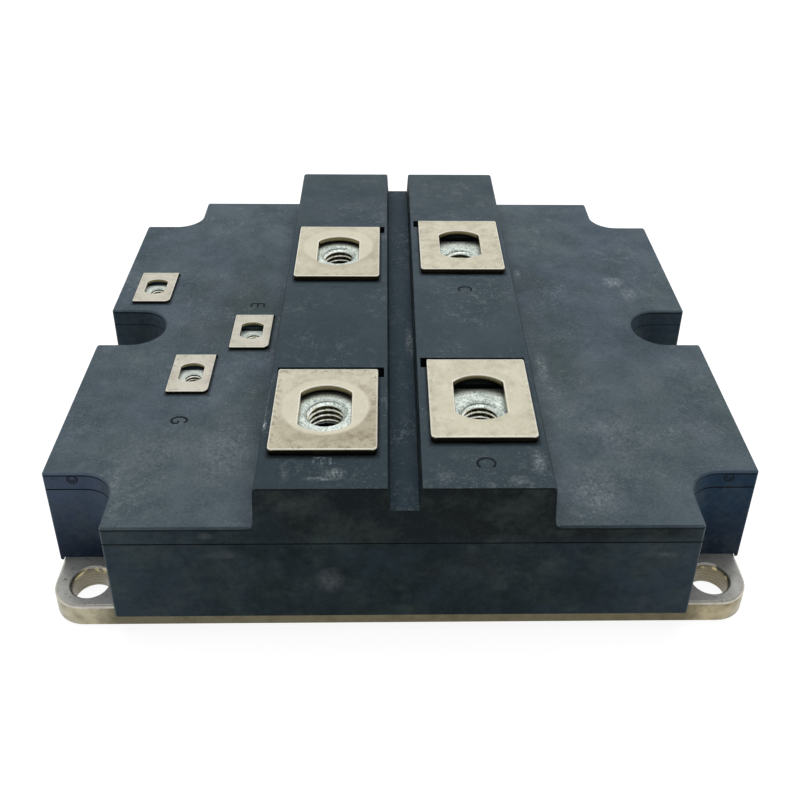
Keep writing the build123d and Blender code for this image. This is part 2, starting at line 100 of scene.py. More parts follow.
class Graph:
    """Short names for the shader nodes of one material; places are in millimetres in the part's frame."""

    def __init__(self, name):
        self.material = bpy.data.materials.new(name)
        self.material.use_nodes = True
        self.tree = self.material.node_tree
        self.tree.nodes.clear()
        coordinates = self.add("TexCoord").outputs
        inputs = {0: coordinates["Object"], "Scale": 1 / MM}
        self.place = self.add("VectorMath", inputs, operation="SCALE").outputs[0]
        self.axes = self.add("SeparateXYZ", {0: self.place}).outputs
        self.facing = self.add("SeparateXYZ", {0: coordinates["Normal"]}).outputs

    def add(self, kind, inputs=None, **settings):
        return add_node(self.tree, kind, inputs, **settings)

    def math(self, operation, *values):
        return self.add("Math", dict(enumerate(values)), operation=operation).outputs[0]

    def absolute(self, value):
        return self.math("ABSOLUTE", value)

    def times(self, *values):
        product = values[0]
        for value in values[1:]:
            product = self.math("MULTIPLY", product, value)
        return product

    def plus(self, *values):
        total = values[0]
        for value in values[1:]:
            total = self.math("ADD", total, value)
        return total

    def largest(self, values):
        most = values[0]
        for value in values[1:]:
            most = self.math("MAXIMUM", most, value)
        return most

    def span(self, value, low, high, to_low=0.0, to_high=1.0):
        """Value from low to high, mapped to a clamped range."""
        inputs = {0: value, 1: low, 2: high, 3: to_low, 4: to_high}
        return self.add("MapRange", inputs, clamp=True).outputs[0]

    def inverse(self, mask):
        return self.span(mask, 1.0, 0.0)

    def mix(self, factor, first, second):
        return self.add("Mix", {0: factor, 6: first, 7: second}, data_type="RGBA").outputs[2]

    def noise(self, size, detail=3.0, roughness=0.5, vector=None, shift=0.0):
        """Noise whose blobs are about that many millimetres across; each shift gives another one."""
        source = vector or self.place
        if shift:
            inputs = {0: source, 1: (shift, shift, shift)}
            source = self.add("VectorMath", inputs, operation="ADD").outputs[0]
        inputs = {"Vector": source, "Scale": 1 / size, "Detail": detail, "Roughness": roughness}
        return self.add("TexNoise", inputs).outputs[0]

    def stretched(self, turn, along, across):
        """Place turned about Z by some degrees and squeezed, so that a texture runs in streaks."""
        turned = self.add("Mapping", {0: self.place, "Rotation": (0, 0, math.radians(turn))})
        inputs = {0: turned.outputs[0], "Scale": (1 / along, 1 / across, 1 / across)}
        return self.add("Mapping", inputs).outputs[0]

    def dashes(self, turn, length, pitch, share, width):
        """Straight scratches: in lanes across a turned direction, some stretches carry a thin line."""
        turned = self.add("Mapping", {0: self.place, "Rotation": (0, 0, math.radians(turn))}).outputs[0]
        along, across, _ = self.add("SeparateXYZ", {0: turned}).outputs
        lane = self.math("DIVIDE", across, pitch)
        lane_number = self.math("FLOOR", lane)
        start = self.add("TexWhiteNoise", {"W": lane_number}, noise_dimensions="1D").outputs[0]
        stretch = self.math("FLOOR", self.plus(self.math("DIVIDE", along, length), self.times(start, 7.0)))
        pair = self.add("CombineXYZ", {0: lane_number, 1: stretch, 2: turn}).outputs[0]
        chance = self.add("TexWhiteNoise", {"Vector": pair}).outputs[0]
        carried = self.math("LESS_THAN", chance, share)
        offset = self.absolute(self.math("SUBTRACT", self.math("FRACT", lane), 0.5))
        return self.times(carried, self.span(offset, width / pitch, width / pitch * 0.4))

    def spot(self, centre, size, edge):
        """One inside an ellipsoid of those half sizes, zero outside, soft over the outer part."""
        moved = self.add("VectorMath", {0: self.place, 1: centre}, operation="SUBTRACT").outputs[0]
        shrunk = self.add("VectorMath", {0: moved, 1: size}, operation="DIVIDE").outputs[0]
        distance = self.add("VectorMath", {0: shrunk}, operation="LENGTH").outputs[1]
        return self.span(distance, 1.0, 1.0 - edge)

    def column(self, x, y, radius, edge):
        """One inside an upright round column, zero outside."""
        return self.spot((x, y, 0.0), (radius, radius, TALL), edge)

    def band(self, axis, low, high, edge):
        """One between two levels of an axis, zero outside."""
        value = self.axes[axis]
        return self.times(self.span(value, low - edge, low), self.span(value, high + edge, high))

    def bump(self, height, strength, distance):
        inputs = {"Strength": strength, "Distance": distance * MM, "Height": height}
        return self.add("Bump", inputs).outputs[0]

    def finish(self, color, roughness, normal=None, metallic=0.0, specular=0.5):
        inputs = {"Base Color": color, "Roughness": roughness, "Metallic": metallic}
        inputs["Specular IOR Level"] = specular
        if normal:
            inputs["Normal"] = normal
        surface = self.add("BsdfPrincipled", inputs).outputs[0]
        self.add("OutputMaterial", {0: surface})
        return self.material


class CaseGraph(Graph):
    """Graph with the masks that the layers of the case share."""

    def __init__(self, name):
        super().__init__(name)
        self.top = self.span(self.facing[2], 0.5, 0.8)
        self.upright = self.inverse(self.top)
        self.from_middle = self.absolute(self.axes[0])


def shade(red, green, blue):
    """Colour written as it looks on a screen, 0 to 255, given as a linear value for a socket."""
    linear = []
    for value in (red, green, blue):
        part = value / 255
        linear.append(part / 12.92 if part <= 0.04045 else ((part + 0.055) / 1.055) ** 2.4)
    return (*linear, 1.0)


def nut_centre(node):
    """Middle of a nut's box in millimetres."""
    low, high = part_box(node)
    return (low + high) / 2 / MM


def tab_plate(node):
    """Lowest and highest X and Y of a terminal's flat top, in millimetres."""
    points = [vertex.co / MM for vertex in nodes[node].data.vertices]
    top = max(point.z for point in points)
    flat = [point for point in points if point.z > top - 0.1]
    low = Vector((min(point.x for point in flat), min(point.y for point in flat)))
    high = Vector((max(point.x for point in flat), max(point.y for point in flat)))
    return low, high


# Colours of the case
PLASTIC = {
    "blue": shade(77, 87, 99),
    "green": shade(80, 91, 97),
    "cloud": shade(61, 73, 79),
    "pale_patch": shade(92, 102, 105),
    "dark_patch": shade(50, 61, 70),
    "darker_place": shade(52, 63, 60),
    "pale_grain": shade(98, 108, 112),
    "dark_grain": shade(44, 54, 60),
    "block": shade(46, 58, 64),
    # Groove floor: dirt with painted shade
    "groove": shade(31, 44, 53),
    # Pale scratches; the same colour paints the highlight on the front's corners
    "scratch": shade(150, 160, 164),
    "dust": shade(158, 168, 168),
    # Bluer tint of the upright faces, painted cool shade; notch walls, painted darker toward their foot
    "upright": shade(90, 112, 128),
    "left_notch": shade(124, 144, 176),
    "right_notch": shade(58, 92, 126),
    "notch_foot_shade": shade(42, 56, 84),
    "front_middle": shade(24, 45, 49),
    "grime": shade(20, 38, 41),
    "stain": shade(19, 28, 30),
    "haze": shade(116, 130, 126),
    "pale_mottle": shade(100, 112, 112),
    "dark_mottle": shade(22, 30, 32),
    # Pale scuffs, and a painted highlight on a block's edge
    "scuff_and_highlight": shade(200, 208, 210),
    "edge_line": shade(12, 15, 18),
    "parting_line": shade(6, 8, 9),
    # Painted shadow at the terminals' feet, and painted shade in the nut pockets
    "tab_foot_shadow": shade(16, 20, 23),
    "pocket": shade(4, 7, 8),
}
# Scuffs on the case, and one painted highlight along a block's left top edge: centre and half sizes in
# millimetres, then how pale they are
SCUFFS_AND_HIGHLIGHT = (
    ((-26.9, -47.4, BLOCK_Z), (0.7, 1.9, 1.4), 1.0),
    # Painted highlight along the left top edge of the emitter block
    ((-26.95, -42.0, BLOCK_Z), (0.28, 10.0, 0.8), 0.6),
    ((-12.8, -61.2, BLOCK_Z), (2.6, 2.0, 1.0), 0.46),
    ((-15.0, -62.4, BLOCK_Z), (4.0, 0.7, 1.0), 0.50),
    ((-21.6, -61.4, BLOCK_Z), (1.2, 2.6, 1.0), 0.18),
    ((24.7, -58.0, BLOCK_Z), (1.6, 4.0, 1.0), 0.46),
    ((20.3, -63.0, BLOCK_Z), (2.2, 1.6, 1.0), 0.30),
    ((7.0, -62.0, BLOCK_Z), (2.0, 2.5, 1.0), 0.18),
    ((2.0, -12.0, BLOCK_Z - 5.3), (1.2, 8.0, 1.2), 0.30),
    ((37.0, -56.0, WING_Z), (6.0, 9.0, 1.0), 0.20),
    ((44.0, -40.0, WING_Z), (9.0, 12.0, 1.0), 0.13),
    ((55.2, 20.6, WING_Z), (3.6, 3.2, 1.0), 0.50),
    ((58.0, 15.0, WING_Z), (2.4, 5.0, 1.0), 0.30),
    ((30.8, 25.0, WING_Z), (1.2, 3.2, 1.0), 0.30),
    ((31.6, -16.0, WING_Z), (1.8, 6.0, 1.0), 0.34),
    ((62.0, -38.0, WING_Z), (6.0, 6.0, 1.0), 0.13),
    ((-36.0, -44.0, WING_Z), (7.0, 14.0, 1.0), 0.18),
    ((-48.0, -44.0, WING_Z), (10.0, 12.0, 1.0), 0.10),
    ((-33.1, FRONT_Y, 20.7), (3.6, 1.0, 1.3), 0.26),
    ((-36.4, FRONT_Y, 25.4), (1.9, 1.0, 1.3), 0.26),
    ((-13.9, FRONT_Y, 14.0), (3.2, 1.0, 3.8), 0.40),
    ((47.8, FRONT_Y, 20.2), (5.0, 1.0, 1.1), 0.26),
    ((-20.0, FRONT_Y, 33.0), (7.0, 1.0, 3.2), 0.14),
    ((15.0, FRONT_Y, 17.0), (16.0, 1.0, 6.0), 0.06),
)
# Darker places on the wings: centre and half sizes in millimetres, then how much they show
DARKER_PLACES = (
    ((-38.0, 8.0, WING_Z), (20.0, 30.0, 4.0), 0.75),
    ((-31.0, -28.0, WING_Z), (6.0, 16.0, 4.0), 0.45),
    ((33.0, 14.0, WING_Z), (14.0, 26.0, 4.0), 0.40),
    ((36.0, -14.0, WING_Z), (9.0, 16.0, 4.0), 0.45),
)
# Thin scratches on the tops: direction in degrees, length and distance between lanes in millimetres
SCRATCH_RUNS = ((12, 5.0, 0.8), (58, 3.5, 0.7), (-40, 4.0, 0.75), (84, 3.0, 0.7))
SCRATCH_SHARE = 0.014
SCRATCH_WIDTH = 0.09
# Flat tops of the terminals, along whose feet a shadow is painted on the case
TAB_PLATES = [tab_plate(node) for node in (*MAIN_TABS, *SMALL_TABS)]
# Nut pockets under the terminals, where shade is painted: middle of the nut, reach from it, level of the
# mouth, and how dark they are
SHADED_POCKETS = [(nut_centre(node), 9.8, BLOCK_Z, 1.0) for node in MAIN_NUTS]
SHADED_POCKETS += [(nut_centre(node), 4.4, WING_Z, 0.15) for node in SMALL_NUTS]


def slate_layer(g, cloud, grain):
    """Cloudy slate colour with patches, darker places and a fine grain."""
    wide = g.noise(38.0, 2.0, 0.5)
    patchy = g.noise(13.0, 5.0, 0.66, shift=19.0)
    color = g.mix(g.span(wide, 0.38, 0.62), PLASTIC["blue"], PLASTIC["green"])
    color = g.mix(g.span(cloud, 0.36, 0.66, 0.0, 0.85), color, PLASTIC["cloud"])
    color = g.mix(g.span(patchy, 0.50, 0.70, 0.0, 0.38), color, PLASTIC["pale_patch"])
    color = g.mix(g.span(patchy, 0.48, 0.32, 0.0, 0.48), color, PLASTIC["dark_patch"])
    for centre, size, strength in DARKER_PLACES:
        place = g.times(g.spot(centre, size, 0.9), g.span(cloud, 0.25, 0.65, 0.4, 1.0), strength)
        color = g.mix(place, color, PLASTIC["darker_place"])
    color = g.mix(g.span(grain, 0.45, 0.78, 0.0, 0.30), color, PLASTIC["pale_grain"])
    return g.mix(g.span(grain, 0.48, 0.24, 0.0, 0.40), color, PLASTIC["dark_grain"])


def block_layer(g, color):
    """Tops of the raised blocks, darker to the front and the left, and the groove between them, darkened by
    dirt and painted shade.
    """
    raised = g.times(g.top, g.span(g.axes[2], WING_Z + 1, WING_Z + 2))
    forward = g.times(g.span(g.axes[1], 30.0, -60.0, 0.60, 1.0), g.span(g.axes[0], -3.0, 3.0, 1.0, 0.78))
    color = g.mix(g.times(raised, forward), color, PLASTIC["block"])
    # Groove floor darker: dirt and painted shade in the channel
    not_front = g.span(g.absolute(g.facing[1]), 0.6, 0.3)
    below_edge = g.span(g.axes[2], BLOCK_Z - 0.6, BLOCK_Z - 1.6)
    in_groove = g.times(g.span(g.from_middle, GROOVE_HALF + 0.1, GROOVE_HALF - 0.05), below_edge, not_front)
    return g.mix(g.times(in_groove, 0.66), color, PLASTIC["groove"])


def dust_layer(g, color, lines):
    """Scratches and dust on the tops, both thicker in patches."""
    patch = g.span(g.noise(15.0, 3.0, 0.6, shift=77.0), 0.44, 0.70)
    color = g.mix(g.times(lines, g.top, g.plus(0.02, g.times(patch, 0.12))), color, PLASTIC["scratch"])
    fine = g.span(g.noise(0.5, 2.0, 0.6, shift=13.0), 0.58, 0.74)
    blotch = g.span(g.noise(1.9, 3.0, 0.65, shift=57.0), 0.52, 0.72)
    dust = g.plus(g.times(fine, 0.60), g.times(blotch, 0.30))
    return g.mix(g.times(dust, g.plus(0.10, g.times(patch, 0.54)), g.top), color, PLASTIC["dust"])


def upright_layer(g, color):
    """Upright faces: tinted bluer as painted cool shade, navy in the front notches with painted shade
    toward their foot, darker toward the middle with grime and stains.
    """
    # Painted cool shade: the upright faces tinted bluer than the tops
    color = g.mix(g.times(g.upright, 0.65), color, PLASTIC["upright"])
    across = g.span(g.absolute(g.facing[1]), 0.2, 0.5)
    notch = g.times(g.span(g.from_middle, FRONT_END + 0.5, FRONT_END + 4), g.upright, across)
    notch = g.times(notch, g.span(g.axes[1], FRONT_Y + 30.0, FRONT_Y + 20.0))
    notch_top = g.mix(g.span(g.axes[0], -60.0, 60.0), PLASTIC["left_notch"], PLASTIC["right_notch"])
    # Painted shade darker toward the foot of the notch walls; the left wall is lighter than the right
    notch_shade = g.mix(g.span(g.axes[2], 7.0, 22.0), PLASTIC["notch_foot_shade"], notch_top)
    color = g.mix(g.times(notch, 0.85), color, notch_shade)
    middle = g.span(g.from_middle, 54.0, 22.0)
    color = g.mix(g.times(middle, g.upright, 0.55), color, PLASTIC["front_middle"])
    grime = g.span(g.noise(8.0, 5.0, 0.7, shift=41.0), 0.36, 0.60)
    color = g.mix(g.times(grime, g.upright, g.plus(0.20, g.times(middle, 0.72))), color, PLASTIC["grime"])
    above = g.span(g.axes[2], PARTING_Z - 1, PARTING_Z + 2)
    stained = g.times(above, g.span(g.axes[0], -34.0, -20.0), g.span(g.axes[0], 58.0, 50.0), g.upright)
    stained = g.times(stained, g.span(g.axes[0], -12.0, 12.0, 0.66, 0.90))
    return g.mix(stained, color, PLASTIC["stain"])


def haze_layer(g, color):
    """Haze and small mottles on the upright faces, and a painted highlight along the corners at the ends of
    the front.
    """
    haze = g.times(g.span(g.noise(8.0, 5.0, 0.70, shift=91.0), 0.48, 0.70), g.upright, 0.40)
    haze = g.times(haze, g.span(g.facing[1], 0.6, -0.6, 0.3, 1.0))
    color = g.mix(haze, color, PLASTIC["haze"])
    mottle = g.span(g.noise(1.4, 4.0, 0.7, shift=63.0), 0.36, 0.64, -0.5, 0.5)
    paler = g.math("MAXIMUM", mottle, 0.0)
    darker = g.math("MAXIMUM", g.times(mottle, -1.0), 0.0)
    color = g.mix(g.times(g.upright, paler, 0.26), color, PLASTIC["pale_mottle"])
    color = g.mix(g.times(g.upright, darker, 0.45), color, PLASTIC["dark_mottle"])
    # Painted highlight along the upright corners at the ends of the front
    inner = g.span(g.from_middle, FRONT_END - 0.45, FRONT_END - 0.2)
    outer = g.span(g.from_middle, FRONT_END + 0.3, FRONT_END)
    corner_highlight = g.times(inner, outer, g.span(g.axes[1], FRONT_Y + 0.7, FRONT_Y + 0.4), g.upright)
    return g.mix(g.times(corner_highlight, 0.75), color, PLASTIC["scratch"])


def scuff_and_highlight_layer(g, color):
    """Pale scuffs in their places, and a painted highlight on a block's edge, broken up by smears."""
    smear = g.span(g.noise(0.7, 4.0, 0.75, shift=5.0), 0.40, 0.66)
    streaks = g.noise(1.0, 3.0, 0.7, vector=g.stretched(84, 2.6, 0.45), shift=11.0)
    smear = g.times(smear, g.span(streaks, 0.34, 0.58, 0.3, 1.0))
    blurred = g.span(g.noise(1.8, 4.0, 0.65, shift=2.0), 0.34, 0.62)
    smear = g.math("MAXIMUM", smear, g.times(g.upright, blurred))
    scuff_and_highlight = g.largest([g.times(g.spot(centre, size, 0.8), strength) for centre, size, strength in SCUFFS_AND_HIGHLIGHT])
    solid = g.span(scuff_and_highlight, 0.75, 0.95)
    return g.mix(g.times(scuff_and_highlight, g.math("MAXIMUM", smear, solid)), color, PLASTIC["scuff_and_highlight"])


def line_layer(g, color, parting_line):
    """Dark lines just under the edges of the tops, and one at the parting of lid and frame."""
    block_line = g.band(2, BLOCK_Z - 0.40, BLOCK_Z - 0.05, 0.1)
    beside_blocks = g.span(g.from_middle, BLOCK_HALF - 0.2, BLOCK_HALF + 0.2)
    wing_line = g.times(g.band(2, WING_Z - 0.75, WING_Z - 0.38, 0.1), beside_blocks)
    color = g.mix(g.times(g.plus(block_line, wing_line), g.upright, 0.75), color, PLASTIC["edge_line"])
    if parting_line:
        line = g.span(g.axes[2], PARTING_Z - 0.32, PARTING_Z - 0.24)
        fading = g.span(g.axes[1], -35.0, -15.0, 1.0, 0.4)
        color = g.mix(g.times(line, fading), color, PLASTIC["parting_line"])
    return color


def terminal_layer(g, color):
    """Painted shadow on the case along the foot of each terminal, and painted shade in the nut pockets
    below the terminals.
    """
    for low, high in TAB_PLATES:
        # Painted contact shadow along the terminal's foot
        foot = g.times(g.band(0, low.x, high.x + 0.2, 0.5), g.band(1, low.y - 0.4, high.y, 0.7))
        color = g.mix(g.times(foot, g.top, 0.6), color, PLASTIC["tab_foot_shadow"])
    for centre, reach, level, strength in SHADED_POCKETS:
        # Painted shade inside the nut pocket
        inside = g.column(centre.x, centre.y, reach, 0.02)
        inside = g.times(inside, g.span(g.axes[2], level + 0.3, level + 0.1), strength)
        color = g.mix(inside, color, PLASTIC["pocket"])
    return color


def case_plastic(name, parting_line):
    """Moulded slate plastic, built up in layers from its own colour to wear, lines and grime, with painted
    shade and highlights among them.
    """
    g = CaseGraph(name)
    cloud = g.noise(10.0, 4.0, 0.62, shift=31.0)
    grain = g.noise(0.6, 3.0, 0.7)
    lines = g.largest([g.dashes(*run, SCRATCH_SHARE, SCRATCH_WIDTH) for run in SCRATCH_RUNS])
    color = slate_layer(g, cloud, grain)
    color = block_layer(g, color)
    color = dust_layer(g, color, lines)
    color = upright_layer(g, color)
    color = haze_layer(g, color)
    color = scuff_and_highlight_layer(g, color)
    color = line_layer(g, color, parting_line)
    color = terminal_layer(g, color)
    height = g.plus(g.times(grain, 0.6), g.times(lines, -0.4), g.noise(0.2, 2.0, 0.6))
    roughness = g.plus(0.50, g.times(cloud, 0.16), g.times(lines, -0.06))
    return g.finish(color, roughness, g.bump(height, 0.22, 0.05), specular=0.09)


# Colours of the terminals' plating: two tones of the tops, then wear and edges, with painted shade on the
# outer edges and underneath and a painted highlight on the eased edges
MAIN_TAB_TONES = (shade(218, 214, 193), shade(204, 199, 177))
SMALL_TAB_TONES = (shade(211, 207, 193), shade(199, 195, 180))
PLATING = {
    "washer_ring": shade(218, 214, 193),
    "ring_shadow": shade(166, 158, 136),
    "worn": shade(172, 163, 140),
    "dirt": shade(116, 102, 84),
    "speck": shade(92, 84, 74),
    "chip": shade(96, 86, 66),
    "scratch": shade(150, 140, 118),
    # Painted shade: the strap's outer edges, and near black underneath
    "outer_edge_shade": shade(74, 65, 48),
    "hole_wall": shade(170, 156, 118),
    "underside_shade": shade(10, 12, 10),
    # Painted highlight on the eased edges
    "rim_highlight": shade(246, 243, 230),
}
# Ring that a washer left on a main terminal, and the stained ring round it, as radii in millimetres
WASHER_RADIUS = 9.0
RING_SHADOW_RADIUS = 11.5
# How far the wall of a hole lies from its centre at most, and how wide the chipped border of a tab is
MAIN_HOLE_REACH = 7.6
SMALL_HOLE_REACH = 3.8
BORDER_WIDTH = 2.0


def washer_layer(g, color, dirt, hole, ring_shift, stain):
    """Pale ring where a washer sat, brown stains outside it; gives the colour and where dirt lies."""
    ring = g.column(hole.x, hole.y + ring_shift, WASHER_RADIUS, 0.08)
    outside = g.inverse(ring)
    shadow = g.times(g.column(hole.x, hole.y + ring_shift, RING_SHADOW_RADIUS, 0.30), outside)
    right = g.times(g.math("SUBTRACT", g.axes[0], hole.x), 0.5)
    front = g.times(g.math("SUBTRACT", hole.y, g.axes[1]), 0.85)
    worn = g.span(g.plus(right, front), -5.0, 11.0, 0.15, 1.0)
    color = g.mix(g.times(ring, 0.5), color, PLATING["washer_ring"])
    color = g.mix(g.times(shadow, worn, 0.70), color, PLATING["ring_shadow"])
    color = g.mix(g.times(outside, worn, stain), color, PLATING["worn"])
    dirt = g.times(dirt, g.plus(0.10, g.times(outside, g.plus(0.35, g.times(worn, 0.55)))))
    return color, dirt


def tab_border(g, node):
    """One along the edges of a terminal's flat top, zero toward its middle."""
    low, high = tab_plate(node)
    edges = []
    for axis in (0, 1):
        edges.append(g.span(g.axes[axis], low[axis] + BORDER_WIDTH, low[axis] + 0.2))
        edges.append(g.span(g.axes[axis], high[axis] - BORDER_WIDTH, high[axis] - 0.2))
    return g.largest(edges)


def tab_metal(node, hole, reach, level, tones, ring_shift, stain):
    """Nickel plated strap: warm bright top with a painted highlight on its eased edges, bronze wall in the
    hole, dark painted shade on its outer edge and underneath.
    """
    g = Graph(node + "_plating")
    top = g.span(g.facing[2], 0.3, 0.7)
    # Faces of the eased edges, where a highlight is painted
    rim_highlight = g.times(g.span(g.facing[2], 0.3, 0.5), g.span(g.facing[2], 0.985, 0.95))
    cloud = g.noise(4.5, 4.0, 0.6)
    fine = g.noise(0.35, 2.0, 0.6)
    brushed = g.noise(1.0, 2.0, 0.6, vector=g.stretched(2, 7.0, 0.12))
    color = g.mix(g.span(cloud, 0.35, 0.68), *tones)
    dirt = g.span(g.noise(3.2, 5.0, 0.70, shift=19.0), 0.46, 0.70)
    if ring_shift is not None:
        color, dirt = washer_layer(g, color, dirt, hole, ring_shift, stain)
    color = g.mix(g.times(dirt, stain), color, PLATING["dirt"])
    speck = g.span(g.noise(0.5, 2.0, 0.5, shift=7.0), 0.66, 0.76)
    color = g.mix(g.times(speck, 0.25 + 0.5 * stain), color, PLATING["speck"])
    chips = g.span(g.noise(0.8, 4.0, 0.7, shift=29.0), 0.52, 0.64)
    color = g.mix(g.times(tab_border(g, node), chips, 0.25 + 0.7 * stain), color, PLATING["chip"])
    scratch = g.math("MAXIMUM", g.dashes(66, 3.0, 0.9, 0.05, 0.07), g.dashes(-24, 4.0, 1.1, 0.04, 0.07))
    color = g.mix(g.times(scratch, 0.30), color, PLATING["scratch"])
    # Painted shade on the outer edges; the wall of the hole keeps its bronze colour
    wall = g.mix(g.column(hole.x, hole.y, reach, 0.02), PLATING["outer_edge_shade"], PLATING["hole_wall"])
    # Painted shade, near black, on the underside and the lowest part of the hole's wall
    wall = g.mix(g.span(g.axes[2], level + 0.40, level + 0.20), wall, PLATING["underside_shade"])
    color = g.mix(g.inverse(top), color, wall)
    # Painted highlight on the faces of the eased edges
    color = g.mix(g.times(rim_highlight, 0.8), color, PLATING["rim_highlight"])
    roughness = g.plus(0.22, g.times(cloud, 0.10), g.times(brushed, 0.10), g.times(dirt, 0.12))
    height = g.plus(g.times(brushed, 0.7), g.times(fine, 0.5))
    return g.finish(color, roughness, g.bump(height, 0.10, 0.03), metallic=1.0)


# Part of a nut's face left lit, outside which the terminal's shadow is painted dark: how far its centre
# lies in front of the nut's, and its radius
LIT_NUT_FACES = {
    "emitter": (0.6, 6.5),
    "collector": (2.4, 10.5),
    "gate": (0.0, 5.0),
    "sense_emitter": (0.0, 5.0),
    "sense_collector": (0.0, 5.0),
}


def nut_metal(name, metallic, frost):
    """Zinc plated steel, frosted with a coarse grain, with a painted shadow outside the lit part of its
    face.
    """
    g = Graph(name)
    grain = g.noise(0.45, 3.0, 0.8)
    cloud = g.noise(2.2, 3.0, 0.6)
    color = g.mix(g.span(cloud, 0.35, 0.70), shade(240, 250, 242), shade(206, 217, 211))
    color = g.mix(g.span(grain, 0.46, 0.62, 0.0, frost), color, shade(112, 124, 118))
    yellow = g.span(g.noise(1.3, 3.0, 0.6, shift=23.0), 0.58, 0.74, 0.0, 0.25)
    color = g.mix(yellow, color, shade(206, 198, 150))
    faces = []
    for node in MAIN_NUTS + SMALL_NUTS:
        centre = nut_centre(node)
        forward, radius = LIT_NUT_FACES[node.split("_nut")[0]]
        faces.append(g.column(centre.x, centre.y - forward, radius, 0.17))
    # Painted shadow of the terminal's hole edge, dark outside the lit part of the face
    color = g.mix(g.span(g.largest(faces), 1.0, 0.0, 0.0, 0.9), color, shade(16, 19, 19))
    roughness = g.plus(0.20, g.times(grain, 0.30))
    return g.finish(color, roughness, g.bump(grain, 0.50, 0.07), metallic=metallic)


def thread_metal():
    """Smooth cut flanks and crests of a thread, slightly yellow in places."""
    g = Graph("thread_crest")
    spread = g.noise(0.9, 3.0, 0.6)
    color = g.mix(g.span(spread, 0.46, 0.72), shade(240, 243, 236), shade(214, 206, 164))
    return g.finish(color, g.plus(0.12, g.times(spread, 0.12)), g.bump(spread, 0.1, 0.03), metallic=0.8)


def thread_root_shade_metal():
    """Painted shade at the bottom of a thread groove, as dark olive metal."""
    g = Graph("thread_root_shade")
    spread = g.noise(0.8, 3.0, 0.6)
    color = g.mix(g.span(spread, 0.38, 0.68), shade(40, 38, 30), shade(88, 82, 58))
    return g.finish(color, g.plus(0.30, g.times(spread, 0.2)), g.bump(spread, 0.2, 0.04), metallic=1.0)


# Colours of the base plate
BASE = {
    "pale_top": shade(194, 194, 190),
    "dark_top": shade(164, 163, 158),
    "speck": shade(80, 77, 70),
    "pit": shade(46, 45, 42),
    "left_edge": shade(172, 166, 142),
    "right_edge": shade(168, 157, 128),
    "edge_stain": shade(96, 88, 66),
    # Painted shadow where the case overhangs the edge
    "under_case_shadow": shade(76, 71, 52),
    "bore": shade(98, 93, 80),
    "tool_mark": shade(52, 49, 40),
    # Painted glints in the bores, and a painted highlight on the chamfer
    "bore_glint": shade(250, 236, 180),
    "rim_highlight": shade(244, 242, 232),
}
# Screw holes of the base: how far in from the case's edges, and how far a bore and its chamfer reach
SCREW_INSET = 8.0
SCREW_REACH = 4.3
SCREW_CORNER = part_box("case_lid")[1] / MM - Vector((SCREW_INSET, SCREW_INSET, 0))
SCREW_HOLES = [(side * SCREW_CORNER.x, row * SCREW_CORNER.y) for side in (-1, 1) for row in (-1, 0, 1)]


def base_side(g, cloud, in_bore):
    """Khaki edge, browner to the right and with a dark painted shadow under the case; bores with tool marks
    and painted warm glints near their top.
    """
    side = g.mix(g.span(g.axes[0], -40.0, 60.0), BASE["left_edge"], BASE["right_edge"])
    stain = g.span(g.noise(3.0, 5.0, 0.72, shift=9.0), 0.44, 0.70, 0.0, 0.70)
    side = g.mix(stain, side, BASE["edge_stain"])
    # Painted shadow of the case's overhang on the middle of the edge
    under = g.span(g.absolute(g.axes[0]), 60.0, 56.0)
    side = g.mix(g.times(under, 0.80), side, BASE["under_case_shadow"])
    side = g.mix(g.times(in_bore, 0.70), side, BASE["bore"])
    wave = g.math("SINE", g.plus(g.times(g.axes[2], 8.0), g.times(cloud, 5.0)))
    side = g.mix(g.times(in_bore, g.span(wave, 0.2, 0.9), 0.35), side, BASE["tool_mark"])
    # Painted warm glints just below the top of the bores
    glints = g.span(g.noise(1.8, 3.0, 0.6, shift=37.0), 0.52, 0.60)
    bore_glints = g.times(in_bore, g.span(g.axes[2], BASE_Z - 1.3, BASE_Z - 0.5), glints)
    return g.mix(g.times(bore_glints, 0.85), side, BASE["bore_glint"])


